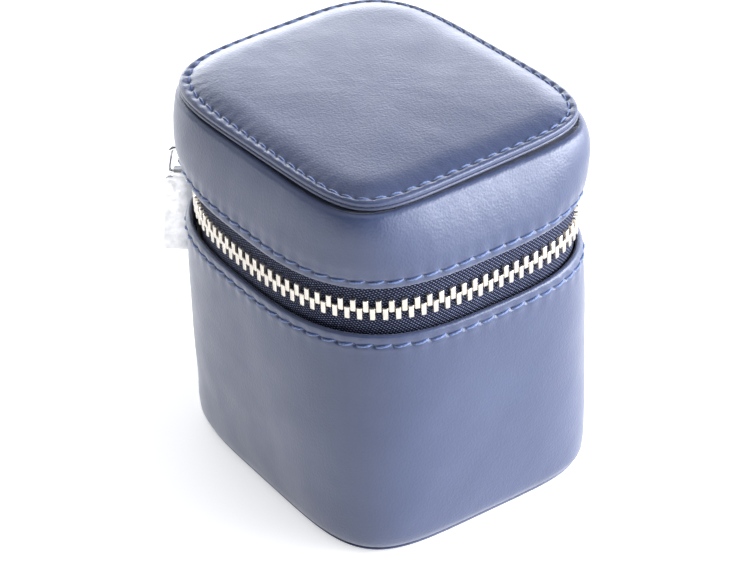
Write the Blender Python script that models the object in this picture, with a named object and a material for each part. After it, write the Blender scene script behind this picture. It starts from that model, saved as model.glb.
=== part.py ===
"""Zip-around leather cube case for wireless earbuds: a lined, padded body and a domed lid, joined by
a rear leather strap and closed by a metal zip with one slider and a hanging pull.

Frame: metres, +Z up, origin at the centre of the flat base. -Y is the front, +Y the hinge side, and
-X the left side, where the zip ends beside its slider.
"""

import math

import bmesh
import bpy
from mathutils import Matrix, Vector

MM = 0.001

# The outer leather surface: height, half width along X, and how square the plan is there (2 is an ellipse).
STATIONS = [
    (0.0, 29.6, 4.6),
    (25.0, 30.9, 3.7),
    (44.0, 31.5, 2.9),
    (59.0, 31.7, 3.0),
    (62.0, 31.6, 3.4),
    (66.5, 30.9, 4.0),
    (73.0, 28.9, 5.2),
    (78.0, 28.4, 4.4),
]
DEPTH_TO_WIDTH = 1.13
OUTLINE_POINTS = 40

# Layers, as depths below the outer surface.
LEATHER = 1.2
GAP = 0.3
FOAM_IN, FOAM_OUT = 1.6, 2.5
BOARD_IN, BOARD_OUT = 2.9, 3.9
LINING_IN, LINING_OUT = 4.2, 5.0
TAPE_IN, TAPE_OUT = 1.5, 2.1
TAPE_PLANE = (TAPE_IN + TAPE_OUT) / 2

# Heights.
BASE_TOP = 1.3
WALL_BOTTOM = 1.6
BODY_TOP = 49.0
ZIP_Z = 53.0
LID_BOTTOM = 59.0
LID_WALL_TOP = 73.6
WELT_BOTTOM, WELT_TOP = 73.9, 74.9
PANEL_BOTTOM, PANEL_EDGE_TOP, PANEL_CENTRE_TOP = 75.2, 76.2, 77.0

# The zip.
TOOTH_PITCH = 2.3
TOOTH_LEG = 0.9
TOOTH_DEPTH = 2.2
CHAIN_HALF_HEIGHT = 2.0
BEAD_HEIGHT = 0.8
TOOTH_TIP = 0.6
CHAIN_GAP_ANGLE = 38.5
TAPE_GAP_ANGLE = 20.5

# The rear strap.
STRAP_ANGLE = 18.5
THREAD_GAP_ANGLE = 22.0

# The slider, in its own axes: X along the zip away from the chain, Y outwards, Z up.
SLIDER_ANGLE = 29.5
SLIDER_LENGTH, SLIDER_THICKNESS, SLIDER_HEIGHT = 8.4, 5.8, 7.2
CHANNEL_THICKNESS, CHANNEL_HEIGHT = 4.0, 5.0
SLOT_THICKNESS = 2.4
BAIL_OUT = 5.4
BAIL_RADIUS = 0.55
BAIL_HALF_SPAN = 2.7
BAIL_UP = 0.9
POST_AT = 2.5
POST_SIZE = (2.4, 5.0, 1.8)
STOP_PAST_ANGLE = 3.0
STOP_SIZE = (1.8, 2.4, 3.4)

# The pull: a wire link through the bail, and a flat tab rolled round the link's lower bar.
PULL_TURN = 31.0
PULL_LEAN = 6.0
LINK_WIRE = 0.5
LINK_TOP, LINK_FOOT = 1.5, -3.7
LINK_INNER, LINK_OUTER_TOP, LINK_OUTER_FOOT = -1.75, 2.6, 3.1
BARREL_HOLE, BARREL_RADIUS, BARREL_HALF = 0.75, 1.25, 1.4
TAB_WIDTH, TAB_LENGTH, TAB_THICKNESS = 5.8, 17.5, 1.2
TAB_CLEAR = 0.9

LOOKS = {
    "leather": ((0.045, 0.062, 0.115), 0.42, 0.0),
    "leather_edge": ((0.035, 0.048, 0.095), 0.5, 0.0),
    "tape": ((0.012, 0.014, 0.028), 0.85, 0.0),
    "thread": ((0.07, 0.10, 0.19), 0.6, 0.0),
    "zip_metal": ((0.80, 0.78, 0.74), 0.2, 1.0),
    "pull_metal": ((0.90, 0.90, 0.91), 0.06, 1.0),
    "lining": ((0.09, 0.095, 0.11), 0.95, 0.0),
    "foam": ((0.35, 0.35, 0.36), 0.9, 0.0),
    "board": ((0.42, 0.34, 0.24), 0.8, 0.0),
}


def look(name):
    found = bpy.data.materials.get(name)
    if found:
        return found
    colour, roughness, metallic = LOOKS[name]
    made = bpy.data.materials.new(name)
    made.use_nodes = True
    shader = made.node_tree.nodes["Principled BSDF"]
    shader.inputs["Base Color"].default_value = (*colour, 1.0)
    shader.inputs["Roughness"].default_value = roughness
    shader.inputs["Metallic"].default_value = metallic
    made.diffuse_color = (*colour, 1.0)
    return made


def clear_scene():
    for obj in list(bpy.data.objects):
        bpy.data.objects.remove(obj, do_unlink=True)


def collection(name, hidden=False):
    made = bpy.data.collections.new(name)
    bpy.context.scene.collection.children.link(made)
    made.hide_render = hidden
    return made


def place(name, mesh, finish, group):
    """An object of this mesh, shaded smooth but for its sharp edges."""
    obj = bpy.data.objects.new(name, mesh)
    group.objects.link(obj)
    mesh.materials.append(look(finish))
    mesh.shade_smooth()
    mesh.set_sharp_from_angle(angle=math.radians(35))
    return obj


def mesh_of(name, bm):
    bmesh.ops.recalc_face_normals(bm, faces=bm.faces)
    mesh = bpy.data.meshes.new(name)
    bm.to_mesh(mesh)
    bm.free()
    return mesh


def station(z):
    """Half width and squareness of the outer surface at height z, both in between two stations."""
    for (z0, w0, n0), (z1, w1, n1) in zip(STATIONS, STATIONS[1:]):
        if z <= z1:
            share = max(0.0, (z - z0) / (z1 - z0))
            return w0 + share * (w1 - w0), n0 + share * (n1 - n0)
    return STATIONS[-1][1:]


def outline_point(z, inset, angle):
    """The point in this direction from the axis, inset inwards from the superellipse at height z."""
    half_x, squareness = station(z)
    half_y = half_x * DEPTH_TO_WIDTH
    c, s = math.cos(angle), math.sin(angle)
    reach = (abs(c / half_x) ** squareness + abs(s / half_y) ** squareness) ** (-1 / squareness)
    x, y = reach * c, reach * s
    slope_x = math.copysign(abs(x / half_x) ** (squareness - 1) / half_x, x)
    slope_y = math.copysign(abs(y / half_y) ** (squareness - 1) / half_y, y)
    normal = Vector((slope_x, slope_y, 0)).normalized()
    return Vector((x, y, z)) - inset * normal


def outline_normal(z, angle):
    return (outline_point(z, 0, angle) - outline_point(z, 1, angle)).normalized()


def outline(z, inset, gap=0.0, rear_only=False):
    """Points round the case. A gap leaves out that many degrees each side of the rear middle.

    Every layer takes its corners from the same directions, so that neighbours stay apart.
    """
    grid = [90 + 360 * i / OUTLINE_POINTS for i in range(-OUTLINE_POINTS // 2, OUTLINE_POINTS + 1)]
    first, last = (90 - gap, 90 + gap) if rear_only else (90 + gap, 450 - gap)
    if gap:
        angles = [first, *[a for a in grid if first + 1 < a < last - 1], last]
    else:
        angles = grid[-OUTLINE_POINTS:]
    return [outline_point(z, inset, math.radians(a)) for a in angles]


def loft(name, finish, group, profile, ends="join", gap=0.0, rear_only=False):
    """A solid that follows the case, through a profile of (depth below the surface, height).

    The profile's ends are joined, as for a wall, or capped, as for a plate or a cup. A wall with a
    gap is capped at both sides of the gap.
    """
    bm = bmesh.new()
    rows = [[bm.verts.new(p * MM) for p in outline(z, inset, gap, rear_only)] for inset, z in profile]
    closed = not (gap or rear_only)
    pairs = list(zip(rows, rows[1:]))
    if ends == "join":
        pairs.append((rows[-1], rows[0]))
    count = len(rows[0])
    for low, high in pairs:
        for i in range(count if closed else count - 1):
            j = (i + 1) % count
            bm.faces.new((low[i], low[j], high[j], high[i]))
    if ends == "cap":
        bm.faces.new(rows[0])
        bm.faces.new(rows[-1])
    if not closed:
        bm.faces.new([row[0] for row in rows])
        bm.faces.new([row[-1] for row in rows])
    return place(name, mesh_of(name, bm), finish, group)


def side(inset, bottom, top):
    """One face of a wall, upwards, with a point at each station that it passes."""
    heights = [bottom] + [z for z, _, _ in STATIONS if bottom < z < top] + [top]
    return [(inset, z) for z in heights]


def wall(outer, inner, bottom, top):
    """A plain wall's profile: up its outer face and down its inner one."""
    return side(outer, bottom, top) + side(inner, bottom, top)[::-1]


def case_body(group):
    rim = [(-0.05, 47.6), (0.2, 48.7), (0.7, BODY_TOP)]
    leather = [(0.45, WALL_BOTTOM), *side(0.0, 3.4, 44.0), *rim]
    leather += side(LEATHER, WALL_BOTTOM, 48.7)[::-1]
    loft("body_leather_wall", "leather", group, leather)
    loft("body_wall_foam", "foam", group, wall(FOAM_IN, FOAM_OUT, 3.1, 44.9))
    loft("body_wall_board", "board", group, wall(BOARD_IN, BOARD_OUT, 3.1, 46.8))
    base = [(2.0, 0.0), (0.9, 0.35), (0.55, BASE_TOP)]
    loft("base_leather_panel", "leather", group, base, "cap")
    loft("base_board", "board", group, [(1.6, 1.6), (1.6, 2.8)], "cap")
    cushion = [(LINING_IN, 3.1), (LINING_IN, 4.6), (6.0, 5.1)]
    loft("base_cushion", "foam", group, cushion, "cap")
    cup = side(LINING_IN, 5.4, 47.6) + side(LINING_OUT, 6.2, 47.6)[::-1]
    loft("body_lining", "lining", group, cup, "cap")
    thread = wall(-0.7, -GAP, 46.2, 46.6)
    loft("body_edge_thread", "thread", group, thread, gap=THREAD_GAP_ANGLE)


def lid(group):
    rim = [(0.7, LID_BOTTOM), (0.2, 59.2), (-0.05, 60.0)]
    shoulder = [(0.3, 72.2), (1.4, LID_WALL_TOP), (2.2, 72.9)]
    leather = [*rim, *side(0.0, 61.9, 70.1), *shoulder]
    leather += side(LEATHER, 59.3, 71.8)[::-1]
    loft("lid_leather_wall", "leather", group, leather)
    loft("lid_wall_foam", "foam", group, wall(FOAM_IN, FOAM_OUT, 62.9, 71.5))
    loft("lid_wall_board", "board", group, wall(BOARD_IN, BOARD_OUT, 60.8, 71.5))
    cap = side(LINING_IN, 60.2, 71.5)[::-1] + side(LINING_OUT, 60.2, 70.7)
    loft("lid_lining", "lining", group, cap, "cap")
    loft("lid_top_board", "board", group, [(2.6, 72.0), (2.6, 73.1)], "cap")
    loft("lid_top_foam", "foam", group, [(4.6, 73.4), (4.6, 74.9)], "cap")
    welt = [(4.2, WELT_BOTTOM), (0.6, WELT_BOTTOM), (0.1, 74.4), (0.6, WELT_TOP), (4.2, WELT_TOP)]
    loft("lid_top_welt", "leather_edge", group, welt)
    panel = [(0.6, PANEL_BOTTOM), (0.0, 75.7), (0.8, PANEL_EDGE_TOP)]
    panel += [(2.4, PANEL_EDGE_TOP), (5.0, 76.7), (14.0, PANEL_CENTRE_TOP)]
    loft("lid_top_panel", "leather", group, panel, "cap")
    thread = [(1.6, 76.5), (1.6, 76.9), (2.0, 76.9), (2.0, 76.5)]
    loft("lid_top_thread", "thread", group, thread)
    loft("lid_edge_thread", "thread", group, wall(-0.7, -GAP, 60.7, 61.1), gap=THREAD_GAP_ANGLE)


def rear_hinge(group):
    """The strap stands on the body alone, close round the hinge line, so that the lid clears it."""
    strap = [(-1.4, 43.6), (-1.4, 50.5), (-0.3, 57.6), (0.6, 57.6), (-GAP, 50.5), (-GAP, 43.6)]
    loft("hinge_strap", "leather", group, strap, gap=STRAP_ANGLE, rear_only=True)
    inner = [(2.5, 47.2), (2.4, 57.6), (3.1, 57.6), (3.2, 47.2)]
    loft("hinge_lining", "lining", group, inner, gap=STRAP_ANGLE, rear_only=True)


def zip_path():
    """The tape's middle line past the front, from one rear end of the chain to the other."""
    steps = 720
    span = 360 - 2 * CHAIN_GAP_ANGLE
    angles = [math.radians(90 + CHAIN_GAP_ANGLE + span * i / steps) for i in range(steps + 1)]
    points = [outline_point(ZIP_Z, TAPE_PLANE, a) for a in angles]
    normals = [outline_normal(ZIP_Z, a) for a in angles]
    lengths = [0.0]
    for a, b in zip(points, points[1:]):
        lengths.append(lengths[-1] + (b - a).length)
    return points, normals, lengths


def along(path, distance):
    points, normals, lengths = path
    for i in range(1, len(lengths)):
        if distance <= lengths[i] or i == len(lengths) - 1:
            share = (distance - lengths[i - 1]) / (lengths[i] - lengths[i - 1])
            share = min(1.0, max(0.0, share))
            point = points[i - 1].lerp(points[i], share)
            return point, normals[i - 1].lerp(normals[i], share).normalized()


def tooth_row(name, group, side, shift):
    """A bead with a tooth on every other cell. side is +1 for the lid's row and -1 for the body's."""
    path = zip_path()
    count = int((path[2][-1] - shift) / TOOTH_PITCH)
    cuts = []
    for i in range(count):
        start = shift + i * TOOTH_PITCH
        cuts += [start, start + TOOTH_LEG]
    root = ZIP_Z + side * CHAIN_HALF_HEIGHT
    neck = root - side * BEAD_HEIGHT
    bm = bmesh.new()
    rings = []
    for distance in cuts:
        point, normal = along(path, distance)
        corners = ((-1, root), (1, root), (1, neck), (-1, neck))
        ring = []
        for out, z in corners:
            offset = point + normal * (out * TOOTH_DEPTH / 2)
            ring.append(bm.verts.new(Vector((offset.x, offset.y, z)) * MM))
        rings.append(ring)
    tops = []
    for i, (a, b) in enumerate(zip(rings, rings[1:])):
        for k in range(4):
            face = bm.faces.new((a[k], a[(k + 1) % 4], b[(k + 1) % 4], b[k]))
            if k == 2 and i % 2 == 0:
                tops.append(face)
    bm.faces.new(rings[0])
    bm.faces.new(rings[-1])
    bmesh.ops.recalc_face_normals(bm, faces=bm.faces)
    raised = bmesh.ops.extrude_discrete_faces(bm, faces=tops)["faces"]
    tip = ZIP_Z - side * TOOTH_TIP
    for face in raised:
        for vert in face.verts:
            vert.co.z = tip * MM
    return place(name, mesh_of(name, bm), "zip_metal", group)


def zip_chain(group):
    lower = wall(TAPE_IN, TAPE_OUT, 45.2, 50.7)
    loft("lower_zip_tape", "tape", group, lower, gap=TAPE_GAP_ANGLE)
    upper = wall(TAPE_IN, TAPE_OUT, 55.3, 61.9)
    loft("upper_zip_tape", "tape", group, upper, gap=CHAIN_GAP_ANGLE)
    tooth_row("lower_tooth_row", group, -1, 0.0)
    tooth_row("upper_tooth_row", group, 1, TOOTH_PITCH / 2)


def box(name, size, centre, frame, group, finish, bevel=0.0):
    """A box of millimetre sizes, with rounded edges if asked, placed by a frame."""
    bm = bmesh.new()
    bmesh.ops.create_cube(bm, size=1.0)
    for vert in bm.verts:
        vert.co = Vector([c * s for c, s in zip(vert.co, size)]) + Vector(centre)
    if bevel:
        bmesh.ops.bevel(bm, geom=bm.edges[:], offset=bevel, segments=2, affect="EDGES", profile=0.5)
    bmesh.ops.scale(bm, vec=(MM, MM, MM), verts=bm.verts)
    bmesh.ops.transform(bm, matrix=frame, verts=bm.verts)
    return place(name, mesh_of(name, bm), finish, group)


def rod(name, radius, length, centre, frame, group, sides=16):
    """A round rod along the frame's X axis."""
    bm = bmesh.new()
    sideways = Matrix.Rotation(math.radians(90), 4, "Y")
    bmesh.ops.create_cone(
        bm, cap_ends=True, segments=sides, radius1=radius, radius2=radius, depth=length, matrix=sideways
    )
    bmesh.ops.translate(bm, vec=centre, verts=bm.verts)
    bmesh.ops.scale(bm, vec=(MM, MM, MM), verts=bm.verts)
    bmesh.ops.transform(bm, matrix=frame, verts=bm.verts)
    return place(name, mesh_of(name, bm), "pull_metal", group)


def wire(name, points, radius, cyclic, finish, group, sides=2):
    """A wire along straight runs between points, as a mesh."""
    data = bpy.data.curves.new(name, "CURVE")
    data.dimensions = "3D"
    data.bevel_depth = radius * MM
    data.bevel_resolution = sides
    data.use_fill_caps = not cyclic
    spline = data.splines.new("POLY")
    spline.points.add(len(points) - 1)
    for held, point in zip(spline.points, points):
        held.co = (*(Vector(point) * MM), 1.0)
    spline.use_cyclic_u = cyclic
    guide = bpy.data.objects.new(name + "_guide", data)
    bpy.context.scene.collection.objects.link(guide)
    graph = bpy.context.evaluated_depsgraph_get()
    mesh = bpy.data.meshes.new_from_object(guide.evaluated_get(graph))
    bpy.data.objects.remove(guide, do_unlink=True)
    bpy.data.curves.remove(data)
    bm = bmesh.new()
    bm.from_mesh(mesh)
    bmesh.ops.remove_doubles(bm, verts=bm.verts, dist=1e-6)
    bpy.data.meshes.remove(mesh)
    return place(name, mesh_of(name, bm), finish, group)


def rounded(corners, radius, steps=3):
    """The corners of a closed outline in a plane, each turned into an arc of this radius."""
    points = []
    count = len(corners)
    for i, corner in enumerate(corners):
        corner = Vector(corner)
        before = (Vector(corners[i - 1]) - corner).normalized()
        after = (Vector(corners[(i + 1) % count]) - corner).normalized()
        half = before.angle(after) / 2
        centre = corner + (before + after).normalized() * (radius / math.sin(half))
        first = corner + before * (radius / math.tan(half)) - centre
        last = corner + after * (radius / math.tan(half)) - centre
        for k in range(steps + 1):
            points.append(centre + first.slerp(last, k / steps).normalized() * radius)
    return points


def slider_frame():
    """The slider's axes, in metres: X along the zip away from the chain, Y outwards, Z up."""
    angle = math.radians(90 + SLIDER_ANGLE)
    centre = outline_point(ZIP_Z, TAPE_PLANE, angle)
    normal = outline_normal(ZIP_Z, angle)
    tangent = normal.cross(Vector((0, 0, 1)))
    turn = Matrix((tangent, normal, Vector((0, 0, 1)))).transposed().to_4x4()
    return Matrix.Translation(centre * MM) @ turn


def boolean(obj, other, operation):
    modifier = obj.modifiers.new(other.name, "BOOLEAN")
    modifier.operation = operation
    modifier.solver = "EXACT"
    modifier.object = other


def slider(group, cutters, frame):
    """Two plates held apart by a post at the far end, with a bail over the outer plate."""
    size = (SLIDER_LENGTH, SLIDER_THICKNESS, SLIDER_HEIGHT)
    body = box("slider_body", size, (0, 0, 0), frame, group, "zip_metal", 0.8)
    through = SLIDER_LENGTH + 2
    channel = (through, CHANNEL_THICKNESS, CHANNEL_HEIGHT)
    slot = (through, SLOT_THICKNESS, SLIDER_HEIGHT + 2)
    boolean(body, box("channel_cut", channel, (0, 0, 0), frame, cutters, "zip_metal"), "DIFFERENCE")
    boolean(body, box("slot_cut", slot, (0, 0, 0), frame, cutters, "zip_metal"), "DIFFERENCE")
    boolean(body, box("post", POST_SIZE, (POST_AT, 0, 0), frame, cutters, "zip_metal"), "UNION")
    foot = SLIDER_THICKNESS / 2 - 0.5
    left = [(-BAIL_HALF_SPAN - 0.4, foot, BAIL_UP), (-BAIL_HALF_SPAN, BAIL_OUT - 0.7, BAIL_UP)]
    left.append((0.7 - BAIL_HALF_SPAN, BAIL_OUT, BAIL_UP))
    arch = left + [(-x, y, z) for x, y, z in reversed(left)]
    bail = wire("bail", arch, BAIL_RADIUS, False, "zip_metal", cutters)
    bail.data.transform(frame)
    boolean(body, bail, "UNION")


def zip_end_stop(group):
    """The metal stop past the chain's other end, on the right."""
    angle = math.radians(90 - CHAIN_GAP_ANGLE + STOP_PAST_ANGLE)
    normal = outline_normal(ZIP_Z, angle)
    tangent = normal.cross(Vector((0, 0, 1)))
    turn = Matrix((tangent, normal, Vector((0, 0, 1)))).transposed().to_4x4()
    frame = Matrix.Translation(outline_point(ZIP_Z, TAPE_PLANE, angle) * MM) @ turn
    box("zip_end_stop", STOP_SIZE, (0, 0, 0), frame, group, "zip_metal", 0.3)


def pull_frame(frame):
    """The pull's plane at the bail: X across the pull, Z up it, turned from the wall and leaning."""
    turn = Matrix.Rotation(math.radians(90 + PULL_TURN), 4, "Z")
    lean = Matrix.Rotation(math.radians(-PULL_LEAN), 4, "Y")
    return frame @ Matrix.Translation(Vector((0, BAIL_OUT, BAIL_UP)) * MM) @ turn @ lean


def pull_link(group, plane):
    corners = [(LINK_INNER, 0, LINK_TOP), (LINK_OUTER_TOP, 0, LINK_TOP)]
    corners += [(LINK_OUTER_FOOT, 0, LINK_FOOT), (LINK_INNER, 0, LINK_FOOT)]
    link = wire("pull_link", rounded(corners, 0.8), LINK_WIRE, True, "pull_metal", group)
    link.data.transform(plane)


def pull_tab(group, cutters, plane):
    """A flat tab below a barrel that turns on the link's lower bar."""
    middle = (LINK_INNER + LINK_OUTER_FOOT) / 2
    low = LINK_FOOT - TAB_LENGTH
    high = LINK_FOOT - TAB_CLEAR
    size = (TAB_WIDTH, TAB_THICKNESS, high - low)
    centre = (middle, 0, (high + low) / 2)
    tab = box("pull_tab", size, centre, plane, group, "pull_metal", 0.35)
    at_bar = (middle, 0, LINK_FOOT)
    barrel = rod("barrel", BARREL_RADIUS, 2 * BARREL_HALF, at_bar, plane, cutters)
    boolean(tab, barrel, "UNION")
    boolean(tab, rod("barrel_hole", BARREL_HOLE, 4 * BARREL_HALF, at_bar, plane, cutters), "DIFFERENCE")


def main():
    clear_scene()
    group = collection("earbuds_case")
    cutters = collection("cutters", hidden=True)
    case_body(group)
    lid(group)
    rear_hinge(group)
    zip_chain(group)
    frame = slider_frame()
    slider(group, cutters, frame)
    zip_end_stop(group)
    plane = pull_frame(frame)
    pull_link(group, plane)
    pull_tab(group, cutters, plane)
    for helper in cutters.objects:
        helper.hide_render = True
        helper.display_type = "WIRE"


main()
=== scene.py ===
"""Looks for a zip-around leather earbuds case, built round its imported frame.

Lengths inside the functions are millimetres; MM turns them into metres where a mesh is made.
"""

import math

import bmesh
import bpy
import numpy as np
from mathutils import Matrix, Vector


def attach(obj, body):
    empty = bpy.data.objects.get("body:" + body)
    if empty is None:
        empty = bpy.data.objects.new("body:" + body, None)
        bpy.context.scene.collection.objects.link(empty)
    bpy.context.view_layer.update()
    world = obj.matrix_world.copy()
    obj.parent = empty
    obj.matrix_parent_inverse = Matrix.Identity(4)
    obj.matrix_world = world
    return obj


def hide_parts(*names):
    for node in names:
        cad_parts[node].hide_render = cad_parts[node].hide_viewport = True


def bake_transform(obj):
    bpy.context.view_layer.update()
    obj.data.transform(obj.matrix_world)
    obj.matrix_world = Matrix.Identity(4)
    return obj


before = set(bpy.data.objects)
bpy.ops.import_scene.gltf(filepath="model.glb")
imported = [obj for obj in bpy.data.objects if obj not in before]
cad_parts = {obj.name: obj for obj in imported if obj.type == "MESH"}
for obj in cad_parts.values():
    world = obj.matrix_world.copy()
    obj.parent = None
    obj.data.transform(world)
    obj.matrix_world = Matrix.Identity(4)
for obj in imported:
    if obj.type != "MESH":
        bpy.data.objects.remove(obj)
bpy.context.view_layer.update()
MM = 0.001
TAU = 2 * math.pi

# Plan outlines: height, half width along X, squareness of the front, left, right and back corners,
# turn in degrees, shift along X and Y, and depth over width. Hand-made leather is never quite symmetric.
BODY_KEYS = np.array([
    (0.6, 28.85, 4.5, 5.0, 4.7, 4.8, -0.8, 0.1, 0.0, 1.13),
    (3.0, 29.45, 4.5, 4.9, 4.6, 4.7, -0.8, 0.1, 0.0, 1.13),
    (12.0, 30.2, 4.1, 4.1, 4.2, 4.3, -0.7, 0.1, 0.0, 1.13),
    (25.0, 30.9, 3.65, 3.58, 3.68, 3.8, -0.6, 0.05, 0.1, 1.13),
    (38.0, 31.25, 3.2, 3.26, 3.47, 3.2, -0.5, 0.05, 0.2, 1.13),
    (46.5, 31.4, 2.93, 3.12, 3.22, 2.9, -0.45, 0.05, 0.2, 1.13),
    (48.8, 31.5, 2.9, 2.85, 2.98, 2.9, -0.45, 0.0, 0.25, 1.13),
])
ZIP_KEYS = np.array([
    (44.0, 31.0, 2.82, 2.52, 3.2, 2.8, 0.1, -0.3, 0.35, 1.13),
    (63.0, 31.0, 2.82, 2.52, 3.2, 2.8, 0.1, -0.3, 0.35, 1.13),
])
LID_KEYS = np.array([
    (58.5, 31.4, 3.05, 2.7, 2.95, 3.1, -0.6, -0.35, 0.2, 1.13),
    (60.8, 31.75, 3.35, 2.88, 3.02, 3.3, 0.0, -0.1, 0.05, 1.13),
    (63.5, 31.6, 3.7, 3.3, 3.35, 3.7, 0.1, 0.0, 0.0, 1.13),
    (66.4, 31.0, 4.1, 3.7, 3.85, 4.1, 0.2, 0.0, 0.05, 1.133),
    (70.0, 30.0, 4.9, 4.1, 4.8, 4.4, 0.3, 0.0, 0.35, 1.143),
    (72.5, 29.1, 5.4, 4.25, 5.3, 4.4, 0.4, 0.0, 0.75, 1.157),
    (74.5, 28.35, 5.6, 4.3, 5.3, 4.3, 0.6, 0.0, 1.0, 1.168),
])

# The puffed top panel: its rim and its stitch line, each an outline without the height.
RIM_OUTLINE = (27.95, 5.7, 4.2, 4.9, 4.1, 1.9, 0.0, 1.0, 1.172)
STITCH_OUTLINE = (26.5, 6.7, 4.1, 5.1, 4.2, 1.0, 0.15, 1.2, 1.187)
RIM_WIDTH = 1.4
PANEL_UNDER = 75.0
PANEL_SEAM = 76.05
PAD_RISE = 1.15
PAD_EDGE = 2.7
PAD_DOME = 0.5

BODY_STITCH_Z = 46.4
LID_STITCH_Z = 60.85
STITCH_PITCH = 3.45
TOP_PITCH = 2.95
NEEDLE_SINK = 0.34
WALL_INSIDE = -1.25
STITCH_GAP = 21.5

# The gaps here and above are in degrees, either side of the rear middle.
ZIP_Z = 53.45
TOOTH_PITCH = 2.3
TOOTH_PHASE = 0.3
TAPE_INSET = -1.1
TAPE_APART = 0.42
CHAIN_GAP = 37.0
TAPE_GAP = 20.5


# ---------------------------------------------------------------- outlines

def corner_blend(values, angle):
    """The squareness that belongs to each direction: front, left, right or back."""
    c, s = np.cos(angle), np.sin(angle)
    front, left, right, back = values
    return np.where(c < 0, np.where(s < 0, front, left), np.where(s < 0, right, back))


def outline(shape, angle):
    """Points and plan normals of one outline, in these directions."""
    half, front, left, right, back, turn, dx, dy, depth = shape
    squareness = corner_blend((front, left, right, back), angle)
    half_y = half * depth
    c, s = np.cos(angle), np.sin(angle)
    reach = (abs(c / half) ** squareness + abs(s / half_y) ** squareness) ** (-1 / squareness)
    x, y = reach * c, reach * s
    nx = np.sign(x) * abs(x / half) ** (squareness - 1) / half
    ny = np.sign(y) * abs(y / half_y) ** (squareness - 1) / half_y
    size = np.hypot(nx, ny)
    nx, ny = nx / size, ny / size
    a = np.radians(turn)
    cos_a, sin_a = np.cos(a), np.sin(a)
    point = np.stack([x * cos_a - y * sin_a + dx, x * sin_a + y * cos_a + dy], -1)
    normal = np.stack([nx * cos_a - ny * sin_a, nx * sin_a + ny * cos_a], -1)
    return point, normal


def distances(points):
    """How far along a run each of its points is."""
    steps = np.linalg.norm(np.diff(points, axis=0), axis=1)
    return np.concatenate([[0], np.cumsum(steps)])


def at_height(points, z):
    """Plan points as points in space."""
    return np.column_stack([points, np.full(len(points), z)])


def eased(keys, z):
    """Every column of the keys at heights z, smooth and without overshoot."""
    xs, ys = keys[:, 0], keys[:, 1:]
    step = np.diff(xs)[:, None]
    slope = np.diff(ys, axis=0) / step
    a, b = slope[:-1], slope[1:]
    same = a * b > 0
    inner = np.where(same, 2 * a * b / np.where(same, a + b, 1), 0)
    tangent = np.vstack([slope[:1], inner, slope[-1:]])
    z = np.clip(np.asarray(z, float), xs[0], xs[-1])
    k = np.clip(np.searchsorted(xs, z) - 1, 0, len(xs) - 2)
    t = ((z - xs[k]) / step[k, 0])[..., None]
    h = step[k]
    return (
        (2 * t**3 - 3 * t**2 + 1) * ys[k] + (t**3 - 2 * t**2 + t) * h * tangent[k]
        + (3 * t**2 - 2 * t**3) * ys[k + 1] + (t**3 - t**2) * h * tangent[k + 1]
    )


def wall_points(keys, profile, angle):
    """A grid of points: one row for each (height, distance out) of the profile."""
    rows = []
    for z, out in profile:
        point, normal = outline(eased(keys, z), angle)
        rows.append(at_height(point + out * normal, z))
    return np.array(rows)


def even_angles(shape, count):
    """Directions in equal steps along an outline, from the rear middle and back to it."""
    fine = np.radians(np.linspace(90, 450, 4001))
    point, _ = outline(shape, fine)
    length = distances(point)
    steps = np.linspace(0, length[-1], count + 1)
    return np.interp(steps[:-1], length, fine)


class Row:
    """A row of stitches or teeth round the case, and how far along it each direction is."""

    def __init__(self, shape, pitch):
        self.shape = shape
        self.angle = np.radians(np.linspace(90, 450, 6001))
        point, _ = outline(shape, self.angle)
        self.length = distances(point)
        self.count = round(self.length[-1] / pitch)
        self.pitch = self.length[-1] / self.count

    def along(self, angle):
        return np.interp(np.mod(angle - math.pi / 2, TAU) + math.pi / 2, self.angle, self.length)

    def direction(self, distance):
        return np.interp(np.mod(distance, self.length[-1]), self.length, self.angle)


def ripple(points, size, seed):
    """A slow, fixed unevenness between -1 and 1, as hand-stretched leather has."""
    total = np.zeros(points.shape[:-1])
    rng = np.random.default_rng(seed)
    for _ in range(7):
        direction = rng.normal(size=3)
        direction *= rng.uniform(0.6, 1.5) / (size * np.linalg.norm(direction))
        total += np.sin(TAU * (points @ direction) + rng.uniform(0, TAU))
    return total / 4


# ---------------------------------------------------------------- meshes

def new_object(name, data):
    obj = bpy.data.objects.new(name, data)
    bpy.context.scene.collection.objects.link(obj)
    return obj


def object_of(name, verts, faces, body, material, uv=None, replaces=()):
    """A piece from millimetre points, riding on a body unless that is None."""
    mesh = bpy.data.meshes.new(name)
    mesh.from_pydata((np.asarray(verts) * MM).tolist(), [], [list(map(int, f)) for f in faces])
    if uv is not None:
        layer = mesh.uv_layers.new(name="Along")
        layer.data.foreach_set("uv", np.asarray(uv, np.float32).ravel())
    obj = new_object(name, mesh)
    mesh.shade_smooth()
    mesh.set_sharp_from_angle(angle=math.radians(50))
    mesh.materials.append(material)
    if body:
        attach(obj, body)
    if replaces:
        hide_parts(*replaces)
    return obj


def grid_faces(rows, columns, close_rows, close_columns):
    """Faces of a grid, facing out where rows climb and columns run anticlockwise."""
    j, i = np.meshgrid(
        np.arange(rows if close_rows else rows - 1),
        np.arange(columns if close_columns else columns - 1),
        indexing="ij",
    )
    j2, i2 = (j + 1) % rows, (i + 1) % columns
    faces = np.stack([j * columns + i, j * columns + i2, j2 * columns + i2, j2 * columns + i], -1)
    return faces.reshape(-1, 4)


def fan(start, count, centre, flip=False):
    """Triangles from each side of a ring of points to its centre."""
    faces = [[start + i, start + (i + 1) % count, centre] for i in range(count)]
    return [[b, a, c] for a, b, c in faces] if flip else faces


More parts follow.
